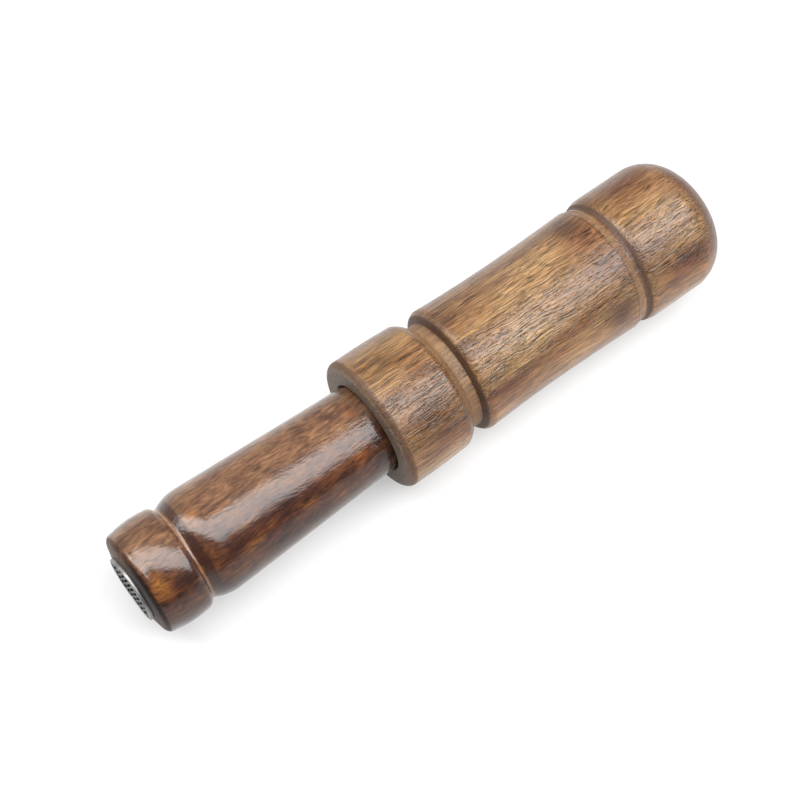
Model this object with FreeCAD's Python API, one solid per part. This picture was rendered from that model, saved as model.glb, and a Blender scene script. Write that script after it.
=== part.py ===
import FreeCAD, Part
import math
import os

# Grunt tube call: a turned wooden barrel, a turned wooden mouthpiece pushed into its socket
# on two O-rings, and a reed cartridge held in the mouthpiece's bore.
# Lengths are in millimetres. The call lies on its side with its axis along X.
# Along the axis, x is measured from the barrel's collar face, positive towards the outlet.
# Outline points are (x, radius) pairs.

# Barrel, outside
COLLAR_FACE_EDGE = (0.0, 13.3)
COLLAR_ROUND = (0.5, 14.5)
COLLAR_START = (1.7, 14.98)
COLLAR_CREST = (4.3, 15.0)
COLLAR_END = (15.3, 14.65)
LANYARD_GROOVE_SHOULDER = (16.6, 13.9)
LANYARD_GROOVE_SLOPE = (17.4, 12.95)
LANYARD_GROOVE_FILLET = (17.9, 12.45)
LANYARD_GROOVE_START = (18.7, 12.3)
LANYARD_GROOVE_END = (20.2, 12.3)
LANYARD_GROOVE_WALL = (20.6, 13.3)
LANYARD_GROOVE_LIP = (21.1, 14.0)
WAIST_START = (22.4, 14.4)
WAIST_MIDDLE = (41.0, 14.0)
WAIST_END = (60.6, 14.5)
RING_GROOVE_START = (62.6, 14.0)
RING_GROOVE_END = (63.4, 14.0)
RING_GROOVE_LIP = (64.6, 14.68)
BELL_START = (66.4, 14.98)
BELL_END = (78.0, 15.0)
DOME_MIDDLE = (83.6, 12.93)
OUTLET_EDGE = (86.2, 9.0)

# Barrel, inside
SOCKET_RADIUS = 9.95
SOCKET_DEPTH = 24.0
SOCKET_CHAMFER = 0.4
OUTLET_RADIUS = 8.0
OUTLET_CHAMFER_LENGTH = 0.9

# Mouthpiece, outside
TIP_EDGE = (-56.7, 7.4)
TIP_RIM = (-56.15, 9.9)
TIP_ROUND = (-55.7, 10.8)
BEAD_START = (-54.2, 11.4)
BEAD_CREST = (-50.0, 11.85)
BEAD_END = (-46.8, 11.6)
LIP_GROOVE_ROUND = (-45.8, 11.2)
LIP_GROOVE_START = (-45.3, 10.6)
LIP_GROOVE_FLOOR = (-45.0, 10.48)
LIP_GROOVE_END = (-44.4, 10.55)
BODY_SHOULDER = (-42.5, 11.32)
BODY_START = (-39.6, 11.7)
BODY_END = (0.2, 9.85)
TENON_START = 0.8
TENON_RADIUS = 9.4
TENON_CLEARANCE = 0.05
TENON_CHAMFER = 0.5

# Mouthpiece, inside
CARTRIDGE_BORE_RADIUS = 6.5
CARTRIDGE_BORE_START = -30.0
AIRWAY_RADIUS = 4.5
AIRWAY_CONE_LENGTH = 2.0
FLANGE_SEAT_RADIUS = 7.4
FLANGE_SEAT_DEPTH = 1.6

# O-rings
TENON_SEAL_POSITIONS = (8.0, 16.0)
TENON_SEAL_SECTION = 1.6
HOLDER_SEAL_POSITION = 17.5
HOLDER_SEAL_SECTION = 1.2
SEAL_CLEARANCE = 0.02
SEAL_FLOOR_CLEARANCE = 0.03
SEAL_GROOVE_EXTRA_WIDTH = 0.5

# Inlet ferrule and its screen
FERRULE_FLANGE_RADIUS = 7.1
FERRULE_FLANGE_THICKNESS = 0.7
FERRULE_EDGE_ROUND = 0.3
FERRULE_SPIGOT_RADIUS = 5.5
FERRULE_SPIGOT_LENGTH = 5.0
FERRULE_HOLE_RADIUS = 4.7
SCREEN_RADIUS = 6.5
SCREEN_THICKNESS = 0.3
SCREEN_RECESS = 0.1
SCREEN_RIM = 0.5
SLOT_COUNT = 11
SLOT_WIDTH = 0.55
SLOT_PITCH = 1.05
SLOT_TURN = 24.0

# Reed holder: a round plug with a flange, and the toneboard that the reed lies on
HOLDER_PLUG_RADIUS = 6.3
HOLDER_PLUG_START = 8.0
HOLDER_FLANGE_RADIUS = 7.25
HOLDER_FLANGE_THICKNESS = 1.5
HOLDER_EDGE_CHAMFER = 0.4
TONEBOARD_RADIUS = 5.1
TONEBOARD_FACE_HEIGHT = 1.0
TONEBOARD_TIP = -23.0
TONEBOARD_TIP_ROUND = 3.5
RELIEF_ANGLE = 3.2
CHANNEL_WIDTH = 4.6
CHANNEL_FLOOR = -3.0
CHANNEL_START = -20.5
AIR_HOLE_RADIUS = 2.0
AIR_HOLE_HEIGHT = -1.4
EXIT_CONE_RADIUS = 4.2
EXIT_CONE_LENGTH = 6.0
WEDGE_NOTCH_LENGTH = 5.2
WEDGE_NOTCH_WIDTH = 8.2
WEDGE_NOTCH_TOP = 4.5

# Reed, wedge and tuning band
REED_THICKNESS = 0.35
REED_WIDTH = 8.0
REED_TIP_ROUND = 2.5
FLEX_LINE = -4.0
FLEX_GAP = 0.1
REED_TIP = -22.3
WEDGE_LENGTH = 5.0
WEDGE_NOSE = 1.2
BAND_SECTION = 1.2
BAND_POSITION = FLEX_LINE + 0.7
BAND_CLEARANCE = 0.05

AXIS_HEIGHT = COLLAR_CREST[1]
FRONT_X = TIP_EDGE[0] - FERRULE_FLANGE_THICKNESS
MIDDLE_X = (FRONT_X + OUTLET_EDGE[0]) / 2
TENON_END = SOCKET_DEPTH - TENON_CLEARANCE
FLANGE_SEAT_X = TENON_END - FLANGE_SEAT_DEPTH
HOLDER_END = FLANGE_SEAT_X + HOLDER_FLANGE_THICKNESS
REED_TOP = TONEBOARD_FACE_HEIGHT + REED_THICKNESS
NOTCH_END = HOLDER_PLUG_START + WEDGE_NOTCH_LENGTH


def in_plane(point):
    """A point of an outline, (x, radius), in the XZ plane."""
    return FreeCAD.Vector(point[0], 0, point[1])


def outline_wire(start, steps):
    """A closed outline. A step of one point is a straight run to it, and a step of two
    points is an arc through the first to the second."""
    edges = []
    here = start
    for step in steps:
        if isinstance(step[0], tuple):
            through, end = step
            arc = Part.Arc(in_plane(here), in_plane(through), in_plane(end))
            edges.append(arc.toShape())
        else:
            end = step
            edges.append(Part.makeLine(in_plane(here), in_plane(end)))
        here = end
    edges.append(Part.makeLine(in_plane(here), in_plane(start)))
    return Part.Wire(edges)


def turned(start, *steps):
    """An outline turned about the X axis."""
    face = Part.Face(outline_wire(start, steps))
    axis_point = FreeCAD.Vector(0, 0, 0)
    return face.revolve(axis_point, FreeCAD.Vector(1, 0, 0), 360)


def rod(x_start, x_end, radius, height=0.0):
    """A cylinder along X, with its axis at the given height."""
    base = FreeCAD.Vector(x_start, 0, height)
    return Part.makeCylinder(radius, x_end - x_start, base, FreeCAD.Vector(1, 0, 0))


def block(x_start, x_end, width, z_low, z_high):
    """A box centred on the XZ plane."""
    corner = FreeCAD.Vector(x_start, -width / 2, z_low)
    return Part.makeBox(x_end - x_start, width, z_high - z_low, corner)


def o_ring(x, outer_radius, section):
    """A ring of round section."""
    centre = FreeCAD.Vector(x, 0, 0)
    middle_radius = outer_radius - section / 2
    return Part.makeTorus(middle_radius, section / 2, centre, FreeCAD.Vector(1, 0, 0))


def seal_groove(x, seal_outer_radius, section, surface_radius):
    """The ring to cut from a shaft for an O-ring."""
    half_width = (section + SEAL_GROOVE_EXTRA_WIDTH) / 2
    floor = seal_outer_radius - section - SEAL_FLOOR_CLEARANCE
    return turned(
        (x - half_width, floor),
        (x - half_width, surface_radius + 1),
        (x + half_width, surface_radius + 1),
        (x + half_width, floor),
    )


def barrel():
    socket_mouth = SOCKET_RADIUS + SOCKET_CHAMFER
    outlet_wall_end = OUTLET_EDGE[0] - OUTLET_CHAMFER_LENGTH
    return turned(
        (0, socket_mouth),
        COLLAR_FACE_EDGE,
        (COLLAR_ROUND, COLLAR_START),
        (COLLAR_CREST, COLLAR_END),
        (LANYARD_GROOVE_SHOULDER, LANYARD_GROOVE_SLOPE),
        (LANYARD_GROOVE_FILLET, LANYARD_GROOVE_START),
        LANYARD_GROOVE_END,
        LANYARD_GROOVE_WALL,
        (LANYARD_GROOVE_LIP, WAIST_START),
        (WAIST_MIDDLE, WAIST_END),
        RING_GROOVE_START,
        RING_GROOVE_END,
        (RING_GROOVE_LIP, BELL_START),
        BELL_END,
        (DOME_MIDDLE, OUTLET_EDGE),
        (outlet_wall_end, OUTLET_RADIUS),
        (SOCKET_DEPTH, OUTLET_RADIUS),
        (SOCKET_DEPTH, SOCKET_RADIUS),
        (SOCKET_CHAMFER, SOCKET_RADIUS),
    )


def mouthpiece():
    spigot_end = TIP_EDGE[0] + FERRULE_SPIGOT_LENGTH
    cone_start = CARTRIDGE_BORE_START - AIRWAY_CONE_LENGTH
    body = turned(
        (TIP_EDGE[0], FERRULE_SPIGOT_RADIUS),
        TIP_EDGE,
        TIP_RIM,
        (TIP_ROUND, BEAD_START),
        (BEAD_CREST, BEAD_END),
        (LIP_GROOVE_ROUND, LIP_GROOVE_START),
        (LIP_GROOVE_FLOOR, LIP_GROOVE_END),
        (BODY_SHOULDER, BODY_START),
        BODY_END,
        (TENON_START, TENON_RADIUS),
        (TENON_END - TENON_CHAMFER, TENON_RADIUS),
        (TENON_END, TENON_RADIUS - TENON_CHAMFER),
        (TENON_END, FLANGE_SEAT_RADIUS),
        (FLANGE_SEAT_X, FLANGE_SEAT_RADIUS),
        (FLANGE_SEAT_X, CARTRIDGE_BORE_RADIUS),
        (CARTRIDGE_BORE_START, CARTRIDGE_BORE_RADIUS),
        (cone_start, AIRWAY_RADIUS),
        (spigot_end, AIRWAY_RADIUS),
        (spigot_end, FERRULE_SPIGOT_RADIUS),
    )
    for x in TENON_SEAL_POSITIONS:
        groove = seal_groove(x, SOCKET_RADIUS - SEAL_CLEARANCE, TENON_SEAL_SECTION, TENON_RADIUS)
        body = body.cut(groove)
    return body


def inlet_ferrule():
    face_x = TIP_EDGE[0]
    seat_x = FRONT_X + SCREEN_RECESS + SCREEN_THICKNESS
    corner_slant = FERRULE_EDGE_ROUND * (1 - math.sqrt(0.5))
    rounded_corner = (
        (FRONT_X + corner_slant, FERRULE_FLANGE_RADIUS - corner_slant),
        (FRONT_X + FERRULE_EDGE_ROUND, FERRULE_FLANGE_RADIUS),
    )
    return turned(
        (FRONT_X, SCREEN_RADIUS),
        (FRONT_X, FERRULE_FLANGE_RADIUS - FERRULE_EDGE_ROUND),
        rounded_corner,
        (face_x, FERRULE_FLANGE_RADIUS),
        (face_x, FERRULE_SPIGOT_RADIUS),
        (face_x + FERRULE_SPIGOT_LENGTH, FERRULE_SPIGOT_RADIUS),
        (face_x + FERRULE_SPIGOT_LENGTH, FERRULE_HOLE_RADIUS),
        (seat_x, FERRULE_HOLE_RADIUS),
        (seat_x, SCREEN_RADIUS),
    )


def inlet_screen():
    start = FRONT_X + SCREEN_RECESS
    end = start + SCREEN_THICKNESS
    plate = rod(start, end, SCREEN_RADIUS)
    open_radius = SCREEN_RADIUS - SCREEN_RIM
    for i in range(SLOT_COUNT):
        y = (i - (SLOT_COUNT - 1) / 2) * SLOT_PITCH
        half_length = math.sqrt(open_radius**2 - y**2)
        corner = FreeCAD.Vector(start, y - SLOT_WIDTH / 2, -half_length)
        plate = plate.cut(Part.makeBox(end - start, SLOT_WIDTH, 2 * half_length, corner))
    plate.rotate(FreeCAD.Vector(0, 0, 0), FreeCAD.Vector(1, 0, 0), SLOT_TURN)
    return plate


def holder_plug():
    """The round plug with its flange, its seal groove and the notch for reed and wedge."""
    plug = turned(
        (HOLDER_PLUG_START, 0),
        (HOLDER_PLUG_START, HOLDER_PLUG_RADIUS - HOLDER_EDGE_CHAMFER),
        (HOLDER_PLUG_START + HOLDER_EDGE_CHAMFER, HOLDER_PLUG_RADIUS),
        (FLANGE_SEAT_X, HOLDER_PLUG_RADIUS),
        (FLANGE_SEAT_X, HOLDER_FLANGE_RADIUS),
        (HOLDER_END - HOLDER_EDGE_CHAMFER, HOLDER_FLANGE_RADIUS),
        (HOLDER_END, HOLDER_FLANGE_RADIUS - HOLDER_EDGE_CHAMFER),
        (HOLDER_END, 0),
    )
    seal_radius = CARTRIDGE_BORE_RADIUS - SEAL_CLEARANCE
    plug = plug.cut(
        seal_groove(HOLDER_SEAL_POSITION, seal_radius, HOLDER_SEAL_SECTION, HOLDER_PLUG_RADIUS)
    )
    notch = block(
        HOLDER_PLUG_START, NOTCH_END, WEDGE_NOTCH_WIDTH, TONEBOARD_FACE_HEIGHT, WEDGE_NOTCH_TOP
    )
    return plug.cut(notch)


def toneboard():
    """The half-round board, rounded at its tip, with its face relieved past the flex line."""
    board = rod(TONEBOARD_TIP, HOLDER_PLUG_START, TONEBOARD_RADIUS)
    above = 2 * TONEBOARD_RADIUS
    board = board.cut(block(TONEBOARD_TIP, HOLDER_PLUG_START, above, TONEBOARD_FACE_HEIGHT, above))
    relief = block(TONEBOARD_TIP * 2, FLEX_LINE, above, TONEBOARD_FACE_HEIGHT, above)
    hinge = FreeCAD.Vector(FLEX_LINE, 0, TONEBOARD_FACE_HEIGHT)
    relief.rotate(hinge, FreeCAD.Vector(0, 1, 0), -RELIEF_ANGLE)
    board = board.cut(relief)
    tip = rounded_strip(TONEBOARD_TIP, HOLDER_PLUG_START, above, TONEBOARD_TIP_ROUND)
    tip = tip.extrude(FreeCAD.Vector(0, 0, 2 * above))
    tip.translate(FreeCAD.Vector(0, 0, -above))
    return board.common(tip)


def rounded_strip(x_tip, x_end, width, corner_radius):
    """A flat strip in the XY plane with two round corners at its tip."""
    half = width / 2
    slant = corner_radius * (1 - math.sqrt(0.5))
    edges = []
    for side in (1, -1):
        side_point = FreeCAD.Vector(x_tip + corner_radius, side * half, 0)
        arc_point = FreeCAD.Vector(x_tip + slant, side * (half - slant), 0)
        tip_point = FreeCAD.Vector(x_tip, side * (half - corner_radius), 0)
        end_point = FreeCAD.Vector(x_end, side * half, 0)
        edges.append(Part.makeLine(end_point, side_point))
        edges.append(Part.Arc(side_point, arc_point, tip_point).toShape())
    tip_low = FreeCAD.Vector(x_tip, corner_radius - half, 0)
    tip_high = FreeCAD.Vector(x_tip, half - corner_radius, 0)
    edges.append(Part.makeLine(tip_low, tip_high))
    edges.append(Part.makeLine(FreeCAD.Vector(x_end, -half, 0), FreeCAD.Vector(x_end, half, 0)))
    return Part.Face(Part.Wire(Part.__sortEdges__(edges)))


def reed_holder():
    body = holder_plug().fuse(toneboard()).removeSplitter()
    channel = block(
        CHANNEL_START, HOLDER_PLUG_START, CHANNEL_WIDTH, CHANNEL_FLOOR, TONEBOARD_RADIUS
    )
    body = body.cut(channel.common(rod(CHANNEL_START, HOLDER_PLUG_START, TONEBOARD_RADIUS)))
    body = body.cut(rod(HOLDER_PLUG_START, HOLDER_END, AIR_HOLE_RADIUS, AIR_HOLE_HEIGHT))
    cone_base = FreeCAD.Vector(HOLDER_END - EXIT_CONE_LENGTH, 0, AIR_HOLE_HEIGHT)
    exit_cone = Part.makeCone(
        AIR_HOLE_RADIUS, EXIT_CONE_RADIUS, EXIT_CONE_LENGTH, cone_base, FreeCAD.Vector(1, 0, 0)
    )
    return body.cut(exit_cone)


def reed_root():
    return block(
        FLEX_LINE + FLEX_GAP / 2, NOTCH_END, REED_WIDTH, TONEBOARD_FACE_HEIGHT, REED_TOP
    )


def reed_tongue():
    strip = rounded_strip(REED_TIP, FLEX_LINE - FLEX_GAP / 2, REED_WIDTH, REED_TIP_ROUND)
    strip.translate(FreeCAD.Vector(0, 0, TONEBOARD_FACE_HEIGHT))
    return strip.extrude(FreeCAD.Vector(0, 0, REED_THICKNESS))


def reed_wedge():
    """A rubber wedge that clamps the reed's root in the notch, with a bevelled nose."""
    start = NOTCH_END - WEDGE_LENGTH
    side = Part.makePolygon(
        [
            in_plane((start, REED_TOP)),
            in_plane((start, WEDGE_NOTCH_TOP - WEDGE_NOSE)),
            in_plane((start + WEDGE_NOSE, WEDGE_NOTCH_TOP)),
            in_plane((NOTCH_END, WEDGE_NOTCH_TOP)),
            in_plane((NOTCH_END, REED_TOP)),
            in_plane((start, REED_TOP)),
        ]
    )
    wedge = Part.Face(side).extrude(FreeCAD.Vector(0, REED_WIDTH, 0))
    wedge.translate(FreeCAD.Vector(0, -REED_WIDTH / 2, 0))
    return wedge


def tuning_band():
    """A rubber ring stretched round the toneboard and the reed."""
    offset = BAND_SECTION / 2 + BAND_CLEARANCE
    radius = TONEBOARD_RADIUS + offset
    top = REED_TOP + offset
    corner_y = math.sqrt(radius**2 - top**2)
    x = BAND_POSITION
    left = FreeCAD.Vector(x, -corner_y, top)
    right = FreeCAD.Vector(x, corner_y, top)
    bottom = FreeCAD.Vector(x, 0, -radius)
    path = Part.Wire([Part.Arc(left, bottom, right).toShape(), Part.makeLine(right, left)])
    ring = Part.makeCircle(BAND_SECTION / 2, bottom, FreeCAD.Vector(0, 1, 0))
    band = path.makePipeShell([Part.Wire([ring])], True, False, 2)
    return Part.Solid(band) if band.ShapeType != "Solid" else band


def save(name, shape):
    """Puts a sub-part in the call's own frame and writes it: the origin is on the surface
    that the call lies on, under the middle of its length."""
    placed = shape.copy()
    placed.translate(FreeCAD.Vector(-MIDDLE_X, 0, AXIS_HEIGHT))
    if not placed.isValid():
        raise ValueError(f"{name} isn't a valid solid")
    placed.exportStep(f"parts/{name}.step")
    print(f"{name}: {placed.Volume:.1f} mm3")


def main():
    os.makedirs("parts", exist_ok=True)
    save("barrel", barrel())
    save("mouthpiece", mouthpiece())
    save("inlet_ferrule", inlet_ferrule())
    save("inlet_screen", inlet_screen())
    for number, x in enumerate(TENON_SEAL_POSITIONS, start=1):
        seal_radius = SOCKET_RADIUS - SEAL_CLEARANCE
        save(f"tenon_seal_{number}", o_ring(x, seal_radius, TENON_SEAL_SECTION))
    save("reed_holder", reed_holder())
    holder_seal_radius = CARTRIDGE_BORE_RADIUS - SEAL_CLEARANCE
    save("holder_seal", o_ring(HOLDER_SEAL_POSITION, holder_seal_radius, HOLDER_SEAL_SECTION))
    save("reed_root", reed_root())
    save("reed_tongue", reed_tongue())
    save("reed_wedge", reed_wedge())
    save("tuning_band", tuning_band())


main()
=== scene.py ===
import math

import bmesh
import bpy
import numpy as np
from mathutils import Matrix, Vector


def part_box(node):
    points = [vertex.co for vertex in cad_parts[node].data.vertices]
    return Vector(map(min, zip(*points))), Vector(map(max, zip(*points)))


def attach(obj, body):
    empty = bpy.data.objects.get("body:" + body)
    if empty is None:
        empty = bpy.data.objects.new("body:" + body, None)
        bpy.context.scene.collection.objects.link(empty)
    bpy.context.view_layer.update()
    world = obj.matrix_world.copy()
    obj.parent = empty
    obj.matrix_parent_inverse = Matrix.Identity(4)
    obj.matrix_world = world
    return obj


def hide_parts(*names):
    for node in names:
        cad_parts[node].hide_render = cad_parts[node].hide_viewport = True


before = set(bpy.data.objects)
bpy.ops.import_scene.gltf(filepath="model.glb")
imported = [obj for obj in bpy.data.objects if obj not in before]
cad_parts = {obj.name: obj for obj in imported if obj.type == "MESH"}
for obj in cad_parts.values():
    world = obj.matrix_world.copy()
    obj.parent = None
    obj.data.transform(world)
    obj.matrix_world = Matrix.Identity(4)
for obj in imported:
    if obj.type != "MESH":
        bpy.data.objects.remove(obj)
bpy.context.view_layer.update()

MM = 0.001

# The call's axis runs along X. Outlines are (x, radius) in millimetres, with x measured from
# the barrel's collar face, as in the CAD model. Angles round the axis are in degrees from the
# top, towards -Y.
COLLAR_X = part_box("barrel")[0].x
AXIS_Z = (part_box("barrel")[0].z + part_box("barrel")[1].z) / 2
OUTLINE_SPACING = 0.04
ROUND_SEGMENTS = 288
SEEN_SIDE = 21.5
SEEN_ANGLE = math.radians(SEEN_SIDE)

# Sizes inside the barrel and the mouthpiece, and of the tip, in millimetres.
SOCKET_RADIUS = 9.95
SOCKET_DEPTH = 24.0
OUTLET_RADIUS = 8.0
TENON_RADIUS = 9.4
TENON_END = 23.95
FLANGE_SEAT_RADIUS = 7.4
FLANGE_SEAT_X = 22.35
CARTRIDGE_BORE_RADIUS = 6.5
AIRWAY_RADIUS = 4.5
TIP_X = -56.7
FERRULE_FRONT_X = -57.4
FERRULE_SPIGOT_RADIUS = 5.5
FERRULE_SPIGOT_END = -51.7
SCREEN_SEAT_X = -57.0
SCREEN_RADIUS = 6.5

# O-rings: places along the axis, the thickness of the rubber, and the gap to the wall.
TENON_SEALS = (8.0, 16.0)
TENON_SEAL_SECTION = 1.6
HOLDER_SEAL = 17.5
HOLDER_SEAL_SECTION = 1.2
SEAL_GAP = 0.02

# Where the wood's surface lies, on the average, for placing stains and cracks on it.
BARREL_SURFACE = 14.5
WAIST_SURFACE = 14.2
MOUTHPIECE_SURFACE = 11.3
NECK_SURFACE = 10.0

# ---------------------------------------------------------------- turned shapes


def arc_points(start, through, end):
    """Points on the circle through three points, from the first to the last."""
    (ax, ay), (bx, by), (cx, cy) = start, through, end
    d = 2 * (ax * (by - cy) + bx * (cy - ay) + cx * (ay - by))
    a2, b2, c2 = ax * ax + ay * ay, bx * bx + by * by, cx * cx + cy * cy
    ux = (a2 * (by - cy) + b2 * (cy - ay) + c2 * (ay - by)) / d
    uy = (a2 * (cx - bx) + b2 * (ax - cx) + c2 * (bx - ax)) / d
    radius = math.hypot(ax - ux, ay - uy)
    first = math.atan2(ay - uy, ax - ux)
    middle = (math.atan2(by - uy, bx - ux) - first) % math.tau
    turn = (math.atan2(cy - uy, cx - ux) - first) % math.tau
    if middle > turn:
        turn -= math.tau
    count = max(2, math.ceil(abs(turn) * radius / OUTLINE_SPACING))
    angles = first + turn * np.arange(1, count + 1) / count
    return np.stack([ux + radius * np.cos(angles), uy + radius * np.sin(angles)], axis=1)


def line_points(start, end):
    """Points on the line between two points, without the first."""
    count = max(1, math.ceil(math.dist(start, end) / OUTLINE_SPACING))
    share = np.arange(1, count + 1)[:, None] / count
    return np.array(start) + share * (np.array(end) - np.array(start))


def outline(start, *steps):
    """Close points round a closed outline. A step is a point, for a straight run to it, or
    two points, for an arc through the first to the second."""
    runs = []
    here = start
    for step in [*steps, start]:
        if isinstance(step[0], tuple):
            runs.append(arc_points(here, *step))
            here = step[1]
        else:
            runs.append(line_points(here, step))
            here = step
    return np.concatenate(runs)


def softened(points, radius):
    """The closed outline with its corners rounded, as sanding leaves them."""
    lengths = np.linalg.norm(np.roll(points, -1, axis=0) - points, axis=1)
    total = lengths.sum()
    count = int(total / OUTLINE_SPACING)
    along = np.concatenate([[0], np.cumsum(lengths)])
    closed = np.vstack([points, points[:1]])
    even = np.linspace(0, total, count, endpoint=False)
    waves = np.fft.fftfreq(count, d=total / count)
    blur = np.exp(-2 * (math.pi * waves * radius) ** 2)
    columns = [np.fft.fft(np.interp(even, along, closed[:, k])) * blur for k in (0, 1)]
    return np.stack([np.fft.ifft(column).real for column in columns], axis=1)


def thinned(points, tolerance=0.004, longest=0.8):
    """The outline without the points that a straight line already passes."""
    kept = [0]
    while kept[-1] < len(points) - 1:
        first = kept[-1]
        last = first + 1
        while last + 1 < len(points):
            chord = points[last + 1] - points[first]
            length = np.linalg.norm(chord)
            between = points[first + 1 : last + 1] - points[first]
            off = np.abs(between[:, 0] * chord[1] - between[:, 1] * chord[0]) / length
            if off.max() > tolerance or length > longest:
                break
            last += 1
        kept.append(last)
    return points[kept]


def place(x, radius, angle):
    """The point at x and a radius in millimetres, and an angle in radians, in metres."""
    return np.stack(
        [
            COLLAR_X + x * MM,
            -radius * np.sin(angle) * MM,
            AXIS_Z + radius * np.cos(angle) * MM,
        ],
        axis=-1,
    )


def add_piece(name, vertices, faces, body, slot, *replaces):
    """A new smooth mesh piece that rides on a body and stands for CAD nodes."""
    mesh = bpy.data.meshes.new(name)
    mesh.from_pydata(np.asarray(vertices).tolist(), [], faces)
    mesh.shade_smooth()
    piece = bpy.data.objects.new(name, mesh)
    bpy.context.scene.collection.objects.link(piece)
    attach(piece, body)
    if replaces:
        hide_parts(*replaces)
    return piece


def turned(name, points, body, slot, *replaces, segments=ROUND_SEGMENTS, worked=None):
    """A closed outline turned about the call's axis. worked may shift each point a little:
    it is given x, radius and angle, and returns the new x and radius."""
    angle = np.arange(segments) * math.tau / segments
    x, radius, angle = np.broadcast_arrays(points[:, :1], points[:, 1:], angle)
    if worked:
        x, radius = worked(x, radius, angle)
    rings = len(points)
    i, j = np.meshgrid(np.arange(rings), np.arange(segments), indexing="ij")
    here, ahead = i * segments, (i + 1) % rings * segments
    side = (j + 1) % segments
    faces = np.stack([here + j, here + side, ahead + side, ahead + j], axis=-1)
    vertices = place(x, radius, angle).reshape(-1, 3)
    return add_piece(name, vertices, faces.reshape(-1, 4).tolist(), body, slot, *replaces)


def bump_at(value, centre, width):
    """1 at the centre, falling off smoothly over the width."""
    return np.exp(-(((value - centre) / width) ** 2))


def hand_turned(x, radius, angle, depth=0.03):
    """Shallow unevenness that a skew chisel and sandpaper leave, along and round the wood."""
    wave = np.sin(x * 0.21 + 0.6) * np.cos(2 * angle + x * 0.05)
    ripple = np.sin(x * 0.83 + 1.9 * np.sin(angle)) * 0.35
    return radius - depth * (1 + 0.5 * wave + 0.5 * ripple) * (radius > 8.5)


NICK_X = 64.2
NICK_ANGLE = math.radians(37)


def worked_barrel(x, radius, angle):
    """Turning marks, and a nick in the right wall of the ring groove."""
    nick = bump_at(x, NICK_X, 0.9) * bump_at(angle, NICK_ANGLE, math.radians(6)) * (radius > 12)
    return x - 0.55 * nick, hand_turned(x, radius, angle) - 0.12 * nick


def make_barrel():
    """From the collar's face, along the outside to the outlet, and back through the bore."""
    points = outline(
        (0, 10.35),
        (0, 13.3),
        ((0.5, 14.5), (1.7, 14.98)),
        ((4.3, 15.0), (15.3, 14.65)),
        ((16.6, 13.9), (17.4, 12.95)),
        ((17.9, 12.45), (18.7, 12.3)),
        (20.2, 12.3),
        (20.6, 13.3),
        ((21.1, 14.0), (22.4, 14.4)),
        ((41.0, 14.0), (60.6, 14.5)),
        (62.6, 14.0),
        (63.4, 14.0),
        ((64.6, 14.68), (66.4, 14.98)),
        (78.0, 15.0),
        ((83.6, 12.93), (86.2, 9.0)),
        (85.3, OUTLET_RADIUS),
        (SOCKET_DEPTH, OUTLET_RADIUS),
        (SOCKET_DEPTH, SOCKET_RADIUS),
        (0.4, SOCKET_RADIUS),
    )
    points = thinned(softened(points, 0.1))
    return turned(
        "barrel_body", points, "barrel", "barrel_wood", "barrel", worked=worked_barrel
    )


def worked_mouthpiece(x, radius, angle):
    """Turning marks, outside the barrel only."""
    return x, hand_turned(x, radius, angle, depth=0.02 * (x < 0.5))


def seal_groove(x, width=2.1, floor=8.3):
    """The four corners of an O-ring's groove in the tenon."""
    start, end = x - width / 2, x + width / 2
    return (start, TENON_RADIUS), (start, floor), (end, floor), (end, TENON_RADIUS)


def make_mouthpiece():
    """From the tip, along the outside to the end of the tenon, and back through the bore."""
    points = outline(
        (TIP_X, FERRULE_SPIGOT_RADIUS),
        (TIP_X, 7.4),
        (-56.15, 9.9),
        ((-55.7, 10.8), (-54.2, 11.4)),
        ((-50.0, 11.85), (-46.8, 11.6)),
        ((-45.8, 11.2), (-45.3, 10.6)),
        ((-45.0, 10.48), (-44.4, 10.55)),
        ((-42.5, 11.32), (-39.6, 11.7)),
        (0.2, 9.85),
        (0.8, TENON_RADIUS),
        *seal_groove(TENON_SEALS[0]),
        *seal_groove(TENON_SEALS[1]),
        (23.45, TENON_RADIUS),
        (TENON_END, 8.9),
        (TENON_END, FLANGE_SEAT_RADIUS),
        (FLANGE_SEAT_X, FLANGE_SEAT_RADIUS),
        (FLANGE_SEAT_X, CARTRIDGE_BORE_RADIUS),
        (-30.0, CARTRIDGE_BORE_RADIUS),
        (-32.0, AIRWAY_RADIUS),
        (FERRULE_SPIGOT_END, AIRWAY_RADIUS),
        (FERRULE_SPIGOT_END, FERRULE_SPIGOT_RADIUS),
    )
    points = thinned(softened(points, 0.07))
    return turned(
        "mouthpiece_body",
        points,
        "mouthpiece",
        "mouthpiece_wood",
        "mouthpiece",
        worked=worked_mouthpiece,
    )


def make_ferrule():
    """The thin flanged ring in the tip, with the recess that holds the screen."""
    points = outline(
        (FERRULE_FRONT_X, SCREEN_RADIUS),
        (FERRULE_FRONT_X, 6.8),
        ((-57.31, 7.01), (-57.1, 7.1)),
        (TIP_X, 7.1),
        (TIP_X, FERRULE_SPIGOT_RADIUS),
        (FERRULE_SPIGOT_END, FERRULE_SPIGOT_RADIUS),
        (FERRULE_SPIGOT_END, 4.7),
        (SCREEN_SEAT_X, 4.7),
        (SCREEN_SEAT_X, SCREEN_RADIUS),
    )
    points = thinned(softened(points, 0.03), tolerance=0.002)
    return turned(
        "ferrule_ring", points, "mouthpiece", "ferrule_metal", "inlet_ferrule", segments=160
    )


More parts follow.
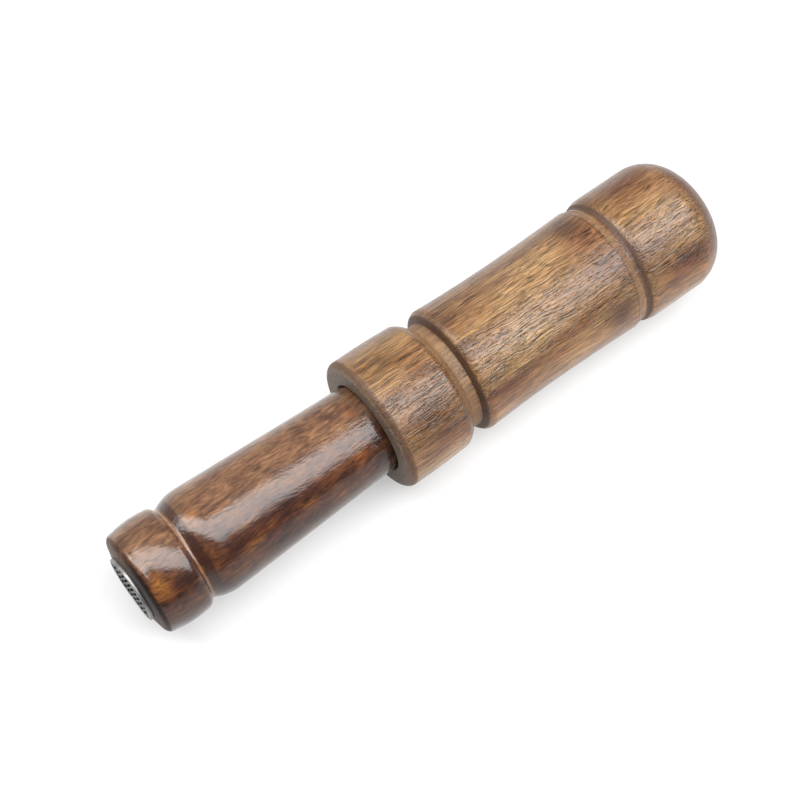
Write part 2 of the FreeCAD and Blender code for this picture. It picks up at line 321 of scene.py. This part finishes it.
def make_o_ring(node, body, x, wall_radius, section, squeeze=1.6):
    """A rubber ring, squeezed a little flat by its groove and the wall outside it."""
    half = 0.5 * section
    turn = np.arange(24) * math.tau / 24
    out = half * np.tanh(squeeze * np.sin(turn)) / math.tanh(squeeze)
    middle = wall_radius - SEAL_GAP - half
    points = np.stack([x + half * np.cos(turn), middle + out], axis=1)
    return turned(node + "_ring", points, body, "seal_rubber", node, segments=120)


def rounded_copy(node, body, width, segments=3):
    """A piece of a CAD node's shape with its sharp edges rounded, as moulding leaves them."""
    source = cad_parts[node].data
    shape = bmesh.new()
    shape.from_mesh(source)
    bmesh.ops.remove_doubles(shape, verts=shape.verts, dist=0.001 * MM)
    bmesh.ops.dissolve_limit(
        shape, angle_limit=math.radians(0.5), verts=shape.verts, edges=shape.edges
    )
    bmesh.ops.triangulate(shape, faces=[f for f in shape.faces if len(f.verts) > 4])
    mesh = bpy.data.meshes.new(node + "_shape")
    shape.to_mesh(mesh)
    shape.free()
    mesh.shade_smooth()
    piece = bpy.data.objects.new(node + "_piece", mesh)
    bpy.context.scene.collection.objects.link(piece)
    bevel = piece.modifiers.new("round", "BEVEL")
    bevel.width = width * MM
    bevel.segments = segments
    bevel.limit_method = "ANGLE"
    bevel.angle_limit = math.radians(25)
    bevel.harden_normals = True
    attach(piece, body)
    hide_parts(node)
    return piece


# ---------------------------------------------------------------- materials


def colour(red, green, blue):
    """A linear colour from the red, green and blue, 0 to 255, that a screen shows."""
    screen = np.array([red, green, blue]) / 255
    linear = np.where(screen <= 0.04045, screen / 12.92, ((screen + 0.055) / 1.055) ** 2.4)
    return (*linear.tolist(), 1.0)


class Signal:
    """A node's output, so that a material's sums read as plain arithmetic."""

    def __init__(self, maker, socket):
        self.maker = maker
        self.socket = socket

    def __add__(self, other):
        return self.maker.math("ADD", self, other)

    def __sub__(self, other):
        return self.maker.math("SUBTRACT", self, other)

    def __rsub__(self, other):
        return self.maker.math("SUBTRACT", other, self)

    def __mul__(self, other):
        return self.maker.math("MULTIPLY", self, other)

    def __abs__(self):
        return self.maker.math("ABSOLUTE", self)

    __radd__ = __add__
    __rmul__ = __mul__


class Maker:
    """Builds one material. Places are in millimetres: x from the collar face, and y and z
    from the call's axis."""

    def __init__(self, name):
        self.material = bpy.data.materials.new(name)
        self.material.use_nodes = True
        self.tree = self.material.node_tree
        self.shader = self.tree.nodes["Principled BSDF"]
        coordinates = self.node("ShaderNodeTexCoord").outputs["Object"]
        shift = Vector((-COLLAR_X, 0, -AXIS_Z))
        moved = self.vector_math("ADD", Signal(self, coordinates), shift)
        self.point = self.vector_math("MULTIPLY", moved, Vector((1, 1, 1)) / MM)
        parts = self.node("ShaderNodeSeparateXYZ", self.point)
        self.x, self.y, self.z = [Signal(self, parts.outputs[k]) for k in range(3)]
        self.radius = self.math("SQRT", self.y * self.y + self.z * self.z)
        self.angle = self.math("ARCTAN2", self.y * -1, self.z)

    def node(self, kind, *inputs, **settings):
        """A node, with its first inputs joined to signals or set to values."""
        made = self.tree.nodes.new(kind)
        for key, value in settings.items():
            setattr(made, key, value)
        for socket, value in zip(made.inputs, inputs):
            self.feed(socket, value)
        return made

    def feed(self, socket, value):
        if isinstance(value, Signal):
            self.tree.links.new(value.socket, socket)
        elif value is not None:
            socket.default_value = value

    def set(self, name, value):
        self.feed(self.shader.inputs[name], value)

    def math(self, operation, a, b=None):
        return Signal(self, self.node("ShaderNodeMath", a, b, operation=operation).outputs[0])

    def vector_math(self, operation, a, b=None):
        made = self.node("ShaderNodeVectorMath", a, b, operation=operation)
        return Signal(self, made.outputs["Value" if operation == "LENGTH" else "Vector"])

    def vector(self, x, y, z):
        return Signal(self, self.node("ShaderNodeCombineXYZ", x, y, z).outputs[0])

    def noise(self, at, along, across, detail=2.0, roughness=0.5, seed=0.0, output=0):
        """Noise from 0 to 1, whose features are about so many millimetres long and wide."""
        scaled = self.vector_math("MULTIPLY", at, Vector((1 / along, 1 / across, 1 / across)))
        made = self.node("ShaderNodeTexNoise", noise_dimensions="4D")
        self.feed(made.inputs["Vector"], scaled)
        made.inputs["W"].default_value = seed
        made.inputs["Scale"].default_value = 1.0
        made.inputs["Detail"].default_value = detail
        made.inputs["Roughness"].default_value = roughness
        return Signal(self, made.outputs[output])

    def smooth(self, value, low, high):
        """0 where the value is at low, 1 at high, and a smooth change between."""
        made = self.node(
            "ShaderNodeMapRange", value, low, high, interpolation_type="SMOOTHSTEP"
        )
        return Signal(self, made.outputs[0])

    def band(self, value, start, end, edge):
        """1 between start and end, with soft edges."""
        rise = self.smooth(value, start - edge, start + edge)
        return rise * self.smooth(value, end + edge, end - edge)

    def spot(self, at, x, degrees, radius, length, width):
        """1 at a place on the surface, falling to 0 at so many millimetres from it."""
        turn = math.radians(degrees)
        centre = Vector((x, -radius * math.sin(turn), radius * math.cos(turn)))
        away = self.vector_math("SUBTRACT", at, centre)
        scaled = self.vector_math("MULTIPLY", away, Vector((1 / length, 1 / width, 1 / width)))
        return self.smooth(self.vector_math("LENGTH", scaled), 1.0, 0.0)

    def mix(self, share, a, b, blend="MIX"):
        """Two colours mixed, or blended, by a share from 0 to 1."""
        made = self.node("ShaderNodeMix", data_type="RGBA", blend_type=blend)
        self.feed(made.inputs[0], share)
        self.feed(made.inputs[6], a)
        self.feed(made.inputs[7], b)
        return Signal(self, made.outputs[2])

    def ramp(self, value, *stops):
        """A colour from a value, by stops of (place, colour)."""
        made = self.node("ShaderNodeValToRGB", value)
        elements = made.color_ramp.elements
        while len(elements) < len(stops):
            elements.new(0.5)
        for element, (where, shade) in zip(elements, stops):
            element.position = where
            element.color = shade
        return Signal(self, made.outputs[0])

    def grey(self, value):
        """A grey colour as bright as the value."""
        return Signal(self, self.node("ShaderNodeCombineColor", value, value, value).outputs[0])

    def bump(self, height):
        """Normals for a height in millimetres."""
        made = self.node("ShaderNodeBump")
        made.inputs["Distance"].default_value = MM
        made.inputs["Strength"].default_value = 1.0
        self.feed(made.inputs["Height"], height)
        return Signal(self, made.outputs[0])


def cover(piece, material):
    piece.data.materials.clear()
    piece.data.materials.append(material)


def wood_place(m, seed, waviness):
    """Places in the wood, shifted sideways so that the grain wanders as it runs along."""
    at = m.point
    for along, across, reach in ((16, 9, waviness), (4, 3, 0.3 * waviness)):
        wander = m.noise(m.point, along, across, detail=1, seed=seed + along, output=1)
        drift = m.vector_math("SUBTRACT", wander, Vector((0.5, 0.5, 0.5)))
        sideways = m.vector_math("MULTIPLY", drift, Vector((0, reach, reach)))
        at = m.vector_math("ADD", at, sideways)
    return at


def fine_lines(m, at, length, spacing, thickness, seed):
    """1 on a few thin lines that follow the grain and fade in and out."""
    lines = m.smooth(abs(m.noise(at, length, spacing, detail=1, seed=seed) - 0.5), thickness, 0)
    fading = m.noise(at, length / 5, spacing / 2, detail=1, seed=seed + 0.5)
    return lines * m.smooth(fading, 0.42, 0.6)


def crack(m, degrees, start, end, seed):
    """1 on one long thin crack along the grain, so many degrees from the middle of the seen
    side, between two places along the call."""
    wander = m.noise(m.vector(m.x, 0.0, 0.0), 9, 1, detail=3, seed=seed) - 0.5
    turn = m.angle - (math.radians(degrees) + SEEN_ANGLE)
    off = abs(turn * WAIST_SURFACE - 4.0 * wander)
    depth = m.smooth(m.noise(m.point, 2.5, 8, detail=2, seed=seed + 0.5), 0.35, 0.6)
    return m.smooth(off, 0.22, 0.05) * m.band(m.x, start, end, 1.5) * (0.3 + 0.7 * depth)


def patches(m, shade, at, radius, tint, blend, *spots):
    """Tints places on the surface. A spot is x, degrees from the middle of the seen side,
    length, width and strength."""
    for x, degrees, length, width, strength in spots:
        mask = m.spot(at, x, degrees + SEEN_SIDE, radius, length, width)
        shade = m.mix(mask * strength, shade, tint, blend)
    return shade


def barrel_stain(m, at):
    """Brown stain in soft zones and streaks, with duller, redder and more golden patches."""
    zones = m.noise(at, 26, 7, detail=2, seed=3.0)
    streaks = m.noise(at, 34, 1.5, detail=3, roughness=0.6, seed=5.0)
    shade = m.ramp(
        0.6 * zones + 0.4 * streaks,
        (0.36, colour(72, 44, 26)),
        (0.46, colour(91, 62, 36)),
        (0.55, colour(103, 75, 46)),
        (0.66, colour(113, 87, 55)),
    )
    dull, gold, red = colour(150, 122, 108), colour(255, 228, 180), colour(196, 128, 92)
    loose = wood_place(m, 2.0, 5.0)
    shade = patches(
        m, shade, loose, BARREL_SURFACE, dull, "MULTIPLY",
        (7, -37, 6, 4, 0.6), (23, -46, 6, 7, 0.7), (57, -48, 6, 8, 0.9), (56, 50, 6, 6, 0.9),
        (9, 20, 9, 6, 0.5), (68, -52, 9, 7, 0.5), (62, 20, 9, 5, 0.4), (76, 30, 9, 4, 0.6),
    )
    shade = patches(
        m, shade, loose, BARREL_SURFACE, red, "MULTIPLY",
        (72, -50, 10, 6, 0.7), (57, -34, 9, 8, 0.7), (28, 38, 12, 3, 0.9), (74, 38, 10, 4, 0.9),
        (13, -20, 5, 4, 0.4), (40, 44, 9, 2, 0.6), (44, 32, 16, 3, 0.7),
    )
    return patches(
        m, shade, loose, BARREL_SURFACE, gold, "SCREEN",
        (42, -38, 26, 11, 0.05), (4, -22, 7, 5, 0.03), (75, -22, 9, 6, 0.03), (36, 24, 16, 4, 0.03),
    )


def barrel_lines(m, at, open_grain):
    """1 on fine grain lines, which are strongest where the grain is open, and on cracks."""
    lines = fine_lines(m, at, 11, 0.9, 0.026, 9.0) + 0.8 * fine_lines(m, at, 6, 0.5, 0.04, 10.0)
    lines = lines * (0.35 + 0.65 * open_grain)
    for degrees, start, end, seed in (
        (9.5, 23, 62, 71.0), (11.0, 64, 80, 73.0), (4.0, 1, 15, 75.0),
        (24.0, 66, 82, 77.0), (19.0, 26, 50, 79.0),
    ):
        lines = lines + 0.9 * crack(m, degrees, start, end, seed)
    return lines


def barrel_ends(m, shade):
    """End grain: pale grey-brown speckle on the collar's face, reddish brown on the dome."""
    speckle = m.noise(m.point, 0.9, 0.6, detail=3, roughness=0.65, seed=21.0)
    grey_end = m.ramp(speckle, (0.35, colour(60, 48, 39)), (0.65, colour(120, 101, 86)))
    shade = m.mix(m.smooth(m.x, 0.45, 0.1), shade, grey_end)
    shade = m.mix(m.band(m.x, 0.35, 1.5, 0.35) * 0.6, shade, colour(52, 33, 21))
    return m.mix(m.smooth(m.x, 79.8, 83.0) * 0.75, shade, colour(60, 33, 19))


def barrel_wood():
    """Stained wood, sanded and oiled: fine grain lines, browner streaks, cracks on the seen
    side, burnished grooves with painted shade on their edges and walls, an underside
    lightened as painted light from the floor, and grey end grain."""
    m = Maker("barrel_wood")
    at = wood_place(m, 1.0, 2.4)
    shade = barrel_stain(m, at)
    # Paler towards the underside as painted light from the floor, and browner on the collar.
    painted_underside_light = m.smooth(m.angle, SEEN_ANGLE + math.radians(36), SEEN_ANGLE + math.radians(68))
    collar = m.smooth(m.x, 17.0, 14.5)
    shade = m.mix(1.0, shade, m.grey(1.0 + 0.75 * painted_underside_light - 0.04 * collar), "MULTIPLY")

    fibres = m.noise(at, 9.0, 0.27, detail=2, roughness=0.6, seed=8.0)
    flecks = m.noise(at, 3.0, 0.27, detail=2, roughness=0.6, seed=7.0)
    grain = 0.65 * fibres + 0.35 * flecks
    open_grain = m.band(
        m.angle, SEEN_ANGLE - math.radians(16), SEEN_ANGLE + math.radians(38), 0.12
    )
    contrast = (grain - 0.5) * 6.0 + 1.04 - 0.12 * open_grain
    shade = m.mix(1.0, shade, m.grey(contrast), "MULTIPLY")
    lines = barrel_lines(m, at, open_grain)
    outside = m.smooth(m.radius, 11.0, 11.6)
    shade = m.mix(lines * outside * 0.65, shade, colour(46, 28, 16))

    # Raw wood on the groove floors, painted shade on the groove edges, and walls that the
    # tool has burnished, darkened further with painted shade.
    raw = m.band(m.x, 16.4, 19.9, 0.4) + m.band(m.x, 61.0, 62.3, 0.2)
    shade = m.mix(raw * outside * 0.4, shade, colour(104, 81, 58))
    painted_edge_shade = m.band(m.x, 15.3, 16.3, 0.4) + m.band(m.x, 60.3, 60.8, 0.15)
    dark = m.band(m.x, 20.1, 20.95, 0.15) + m.band(m.x, 62.7, 64.2, 0.22)
    shade = m.mix(painted_edge_shade * outside * 0.5, shade, colour(62, 38, 22))
    shade = m.mix(dark * outside * (0.45 + 0.6 * flecks), shade, colour(52, 31, 20))

    m.set("Base Color", barrel_ends(m, shade))
    matte = m.smooth(m.x, 2.4, 1.2) + dark + raw + 0.6 * m.band(m.x, 21.2, 22.6, 0.4)
    m.set("Roughness", 0.14 + 0.12 * grain + 0.35 * matte)
    m.set("Specular IOR Level", 0.4)
    m.set("Normal", m.bump((0.1 + 0.06 * open_grain) * grain - 0.07 * lines))
    return m.material


def walnut(m, at, mottle):
    """Mottled walnut, lighter along one side, with amber, dark and reddish patches."""
    streaks = m.noise(at, 10, 1.0, detail=3, roughness=0.6, seed=15.0)
    tone = 0.62 * mottle + 0.38 * streaks
    pale = m.ramp(
        tone,
        (0.36, colour(58, 35, 22)),
        (0.48, colour(82, 55, 37)),
        (0.62, colour(100, 72, 48)),
    )
    deep = m.ramp(
        tone,
        (0.38, colour(34, 15, 9)),
        (0.48, colour(54, 27, 15)),
        (0.58, colour(70, 40, 20)),
        (0.68, colour(92, 58, 27)),
    )
    turn = m.angle + 0.5 * (mottle - 0.5)
    shade = m.mix(m.smooth(turn, SEEN_ANGLE - 0.3, SEEN_ANGLE + 0.1), pale, deep)

    loose = wood_place(m, 12.0, 4.5)
    shade = patches(
        m, shade, loose, MOUTHPIECE_SURFACE, colour(112, 70, 30), "MIX",
        (-53.2, 12, 3.0, 4.4, 0.75), (-41.0, -28, 2.4, 2.2, 0.9), (-36, -17, 5, 1.2, 0.5),
        (-42.5, 12, 2, 2, 0.3), (-20, 30, 4, 1.2, 0.4), (-34, 33, 5, 1.5, 0.5),
    )
    # Dark spots and streaks; the wide spot at x -43.2 adds painted shade past the lip groove.
    shade = patches(
        m, shade, loose, MOUTHPIECE_SURFACE, colour(32, 15, 10), "MIX",
        (-48.6, -21, 1.6, 1.4, 0.9), (-41.3, -41, 2.0, 1.6, 0.7), (-48, 22, 3.2, 3.6, 0.8),
        (-33, -22, 9, 1.0, 0.7), (-27, -16, 8, 0.8, 0.7), (-38, -31, 4, 0.9, 0.6),
        (-43.2, 0, 1.5, 9, 0.6), (-54.6, -45, 1.6, 3, 0.5),
    )
    return patches(
        m, shade, loose, NECK_SURFACE, colour(100, 52, 24), "MIX",
        (-6, 24, 3.5, 1.8, 0.6), (-3, -34, 3.0, 4.5, 0.5), (-14, 21, 4, 1.0, 0.4),
    )


def lacquered_wood():
    """Walnut under a thick gloss lacquer, which the tip has lost."""
    m = Maker("mouthpiece_wood")
    at = wood_place(m, 11.0, 4.0)
    mottle = m.noise(at, 5, 2.8, detail=4, roughness=0.62, seed=13.0)
    flecks = m.noise(at, 2.6, 0.5, detail=2, roughness=0.6, seed=17.0)
    shade = m.mix(1.0, walnut(m, at, mottle), m.grey((flecks - 0.5) * 3.0 + 1.0), "MULTIPLY")

    # Painted shadow by the collar, painted shade on the slope past the lip groove, and a
    # painted highlight line on the groove's wall.
    shade = m.mix(1.0, shade, m.grey(1.0 - 0.3 * m.smooth(m.x, -5.5, -1.5)), "MULTIPLY")
    shade = m.mix(m.band(m.x, -44.5, -42.7, 0.3) * 0.8, shade, colour(40, 19, 11))
    shade = m.mix(m.band(m.x, -45.2, -44.75, 0.12) * 0.4, shade, colour(128, 98, 76))
    # The tip has lost its lacquer, and is painted nearly black as shade, most on the seen side.
    bare_shaded_tip = m.smooth(m.x + 0.15 * mottle, -54.9, -55.5)
    painted_shade_side = m.band(m.angle, SEEN_ANGLE - 0.5, SEEN_ANGLE + 0.85, 0.3)
    shade = m.mix(bare_shaded_tip * (0.3 + 0.6 * painted_shade_side), shade, colour(20, 13, 11))

    m.set("Base Color", shade)
    m.set("Roughness", 0.6)
    m.set("Specular IOR Level", 0.1)
    m.set("Coat Weight", 1.0 - 0.85 * bare_shaded_tip)
    m.set("Coat Roughness", 0.06)
    m.set("Coat IOR", 1.4)
    m.set("Normal", m.bump(0.05 * flecks))
    sags = m.noise(m.point, 6.0, 1.6, detail=2, seed=19.0)
    pores = m.noise(at, 1.6, 0.3, detail=2, seed=20.0)
    drips = m.noise(m.point, 2.2, 0.7, detail=2, roughness=0.6, seed=22.0) * m.smooth(m.x, -13, -5)
    m.set("Coat Normal", m.bump(0.045 * sags + 0.05 * pores + 0.12 * drips))
    return m.material


def bare_metal(name, shade, worn, roughness, dark_from):
    """Bare metal with fine tool rings and handling marks, nearly black past an x with painted
    shade, where the ferrule meets the wood and behind the screen's slots.
    """
    m = Maker(name)
    rings = m.noise(m.vector(m.radius, m.x, 0.0), 0.09, 0.4, detail=2, seed=31.0)
    smears = m.noise(m.point, 1.6, 1.6, detail=3, roughness=0.65, seed=33.0)
    base = m.mix(m.smooth(smears, 0.35, 0.7), shade, worn)
    base = m.mix(1.0, base, m.grey(0.82 + 0.36 * rings), "MULTIPLY")
    # Painted shade past dark_from.
    painted_back_shade = m.smooth(m.x, dark_from, dark_from + 0.08)
    m.set("Base Color", m.mix(painted_back_shade * 0.9, base, colour(20, 19, 20)))
    m.set("Metallic", 1.0 - 0.6 * painted_back_shade)
    m.set("Roughness", roughness + 0.2 * smears + 0.2 * painted_back_shade)
    m.set("Normal", m.bump(0.006 * rings))
    return m.material


def rubber(name, shade, dust, grain_size):
    """Matte rubber with a fine moulded grain and pale dust on it."""
    m = Maker(name)
    grain = m.noise(m.point, grain_size, grain_size, detail=3, roughness=0.7, seed=41.0)
    film = m.noise(m.point, 2.2, 2.2, detail=3, roughness=0.6, seed=43.0)
    m.set("Base Color", m.mix(m.smooth(film, 0.5, 0.8) * 0.5, shade, dust))
    m.set("Roughness", 0.5 + 0.3 * film)
    m.set("Specular IOR Level", 0.35)
    m.set("Normal", m.bump(0.02 * grain))
    return m.material


def moulded_plastic():
    """Dark moulded plastic: a fine spark-eroded texture, flow marks and rubbed patches."""
    m = Maker("holder_plastic")
    texture = m.noise(m.point, 0.16, 0.16, detail=2, seed=51.0)
    flow = m.noise(m.point, 9, 2.2, detail=3, roughness=0.6, seed=53.0)
    shade = m.mix(m.smooth(flow, 0.35, 0.7), colour(46, 46, 48), colour(66, 65, 64))
    m.set("Base Color", m.mix(1.0, shade, m.grey(0.85 + 0.3 * texture), "MULTIPLY"))
    m.set("Roughness", 0.38 + 0.25 * flow)
    m.set("Normal", m.bump(0.018 * texture))
    return m.material


def reed_film():
    """Thin ivory film with fine lengthwise scratches, yellower towards its root."""
    m = Maker("reed_film")
    scratches = m.noise(m.point, 7, 0.12, detail=2, seed=61.0)
    cloud = m.noise(m.point, 5, 3, detail=2, seed=63.0)
    shade = m.mix(m.smooth(m.x, -18, 12) * 0.6, colour(226, 220, 202), colour(214, 199, 160))
    m.set("Base Color", m.mix(1.0, shade, m.grey(0.88 + 0.24 * cloud), "MULTIPLY"))
    m.set("Roughness", 0.22 + 0.2 * scratches)
    m.set("Transmission Weight", 0.15)
    m.set("Normal", m.bump(0.006 * scratches))
    return m.material


cover(make_barrel(), barrel_wood())
cover(make_mouthpiece(), lacquered_wood())
cover(
    make_ferrule(),
    bare_metal("ferrule_metal", colour(150, 150, 150), colour(122, 121, 119), 0.42, TIP_X - 0.08),
)
cover(
    rounded_copy("inlet_screen", "mouthpiece", 0.06, segments=2),
    bare_metal("screen_metal", colour(102, 102, 104), colour(74, 73, 72), 0.45, SCREEN_SEAT_X - 0.27),
)
seal_rubber = rubber("seal_rubber", colour(30, 30, 32), colour(72, 70, 68), 0.2)
for number, seal_x in enumerate(TENON_SEALS, 1):
    node = f"tenon_seal_{number}"
    seal = make_o_ring(node, "tenon_seals", seal_x, SOCKET_RADIUS, TENON_SEAL_SECTION)
    cover(seal, seal_rubber)
seal = make_o_ring(
    "holder_seal", "reed_cartridge", HOLDER_SEAL, CARTRIDGE_BORE_RADIUS, HOLDER_SEAL_SECTION
)
cover(seal, seal_rubber)
cover(rounded_copy("tuning_band", "tuning_band", 0.08), seal_rubber)
cover(rounded_copy("reed_holder", "reed_cartridge", 0.18), moulded_plastic())
film = reed_film()
cover(rounded_copy("reed_root", "reed_cartridge", 0.05, segments=2), film)
cover(rounded_copy("reed_tongue", "reed_tongue", 0.05, segments=2), film)
cover(
    rounded_copy("reed_wedge", "reed_cartridge", 0.3),
    rubber("wedge_rubber", colour(112, 74, 46), colour(150, 120, 92), 0.3),
)

# ---------------------------------------------------------------- camera, floor and light

VIEW_AZIMUTH = math.radians(-37.4)
VIEW_ELEVATION = math.radians(63.6)
VIEW_DISTANCE = 0.3451
LENS = 75.95
ACROSS = Vector((math.cos(VIEW_AZIMUTH), math.sin(VIEW_AZIMUTH), 0))
AWAY = Vector((-math.sin(VIEW_AZIMUTH), math.cos(VIEW_AZIMUTH), 0))
MIDDLE = Vector((COLLAR_X + 9.07 * MM, 0, AXIS_Z))
SHIFT_ACROSS = -0.52 * MM
SHIFT_UP = 0.75 * MM


def make_camera():
    """A long lens, looking down on the call, with the mouthpiece to the left."""
    up = AWAY * math.sin(VIEW_ELEVATION) + Vector((0, 0, math.cos(VIEW_ELEVATION)))
    back = ACROSS.cross(up)
    data = bpy.data.cameras.new("camera")
    data.lens = LENS
    data.sensor_width = 36.0
    data.clip_start = 0.01
    data.clip_end = 20.0
    camera = bpy.data.objects.new("camera", data)
    bpy.context.scene.collection.objects.link(camera)
    seat = MIDDLE + ACROSS * SHIFT_ACROSS + up * SHIFT_UP + back * VIEW_DISTANCE
    axes = Matrix((ACROSS, up, back)).transposed().to_4x4()
    camera.matrix_world = Matrix.Translation(seat) @ axes
    bpy.context.scene.camera = camera


FLOOR_RADIUS = 6.0
FLOOR_SIDES = 96
FLOOR_ALBEDO = 0.3
FLOOR_GLOW = 0.45


def make_floor():
    """A wide white disc under the call, lit from below a little, as a light table is."""
    angles = [math.tau * k / FLOOR_SIDES for k in range(FLOOR_SIDES)]
    vertices = [(FLOOR_RADIUS * math.cos(a), FLOOR_RADIUS * math.sin(a), 0) for a in angles]
    mesh = bpy.data.meshes.new("floor")
    mesh.from_pydata(vertices, [], [list(range(FLOOR_SIDES))])
    floor = bpy.data.objects.new("floor", mesh)
    bpy.context.scene.collection.objects.link(floor)
    paper = bpy.data.materials.new("floor_paper")
    paper.use_nodes = True
    shader = paper.node_tree.nodes["Principled BSDF"]
    shader.inputs["Base Color"].default_value = (FLOOR_ALBEDO, FLOOR_ALBEDO, FLOOR_ALBEDO, 1)
    shader.inputs["Roughness"].default_value = 0.9
    shader.inputs["Specular IOR Level"].default_value = 0.0
    shader.inputs["Emission Color"].default_value = (1, 1, 1, 1)
    shader.inputs["Emission Strength"].default_value = FLOOR_GLOW
    cover(floor, paper)


LIGHT_HEIGHT = 0.42
LIGHT_RADIANCE = 9.2
LIGHT_TURN = math.radians(-14)


def make_softbox(name, centre, size):
    """A flat light overhead. Its centre, across and away from the middle of the call, and
    its size are given as shares of its height."""
    long_side, short_side = [side * LIGHT_HEIGHT for side in size]
    data = bpy.data.lights.new(name, "AREA")
    data.shape = "RECTANGLE"
    data.size = long_side
    data.size_y = short_side
    data.energy = LIGHT_RADIANCE * math.pi * long_side * short_side
    light = bpy.data.objects.new(name, data)
    bpy.context.scene.collection.objects.link(light)
    seat = MIDDLE + LIGHT_HEIGHT * (Vector((0, 0, 1)) + ACROSS * centre[0] + AWAY * centre[1])
    turn = Matrix.Rotation(VIEW_AZIMUTH + LIGHT_TURN, 4, "Z")
    light.matrix_world = Matrix.Translation(seat) @ turn
    light.visible_camera = False


ROOM_FRONT = 0.16
ROOM_BACK = 0.68
ROOM_FADE = (-0.5, 0.6)


def make_world():
    """A pale room, brighter behind the call than in front of it."""
    world = bpy.data.worlds.new("studio")
    bpy.context.scene.world = world
    world.use_nodes = True
    nodes, links = world.node_tree.nodes, world.node_tree.links
    direction = nodes.new("ShaderNodeTexCoord").outputs["Generated"]
    depth = nodes.new("ShaderNodeVectorMath")
    depth.operation = "DOT_PRODUCT"
    depth.inputs[1].default_value = AWAY
    links.new(direction, depth.inputs[0])
    fade = nodes.new("ShaderNodeMapRange")
    fade.interpolation_type = "SMOOTHSTEP"
    for socket, value in zip(fade.inputs[1:], (*ROOM_FADE, ROOM_FRONT, ROOM_BACK)):
        socket.default_value = value
    links.new(depth.outputs["Value"], fade.inputs[0])
    links.new(fade.outputs[0], nodes["Background"].inputs["Strength"])
    nodes["Background"].inputs["Color"].default_value = (1, 1, 1, 1)


make_camera()
make_floor()
make_softbox("softbox_main", (0.0, -0.1), (2.9, 0.56))
make_softbox("softbox_side", (1.05, 0.2), (1.1, 0.56))
make_world()
bpy.context.scene.view_settings.view_transform = "Standard"
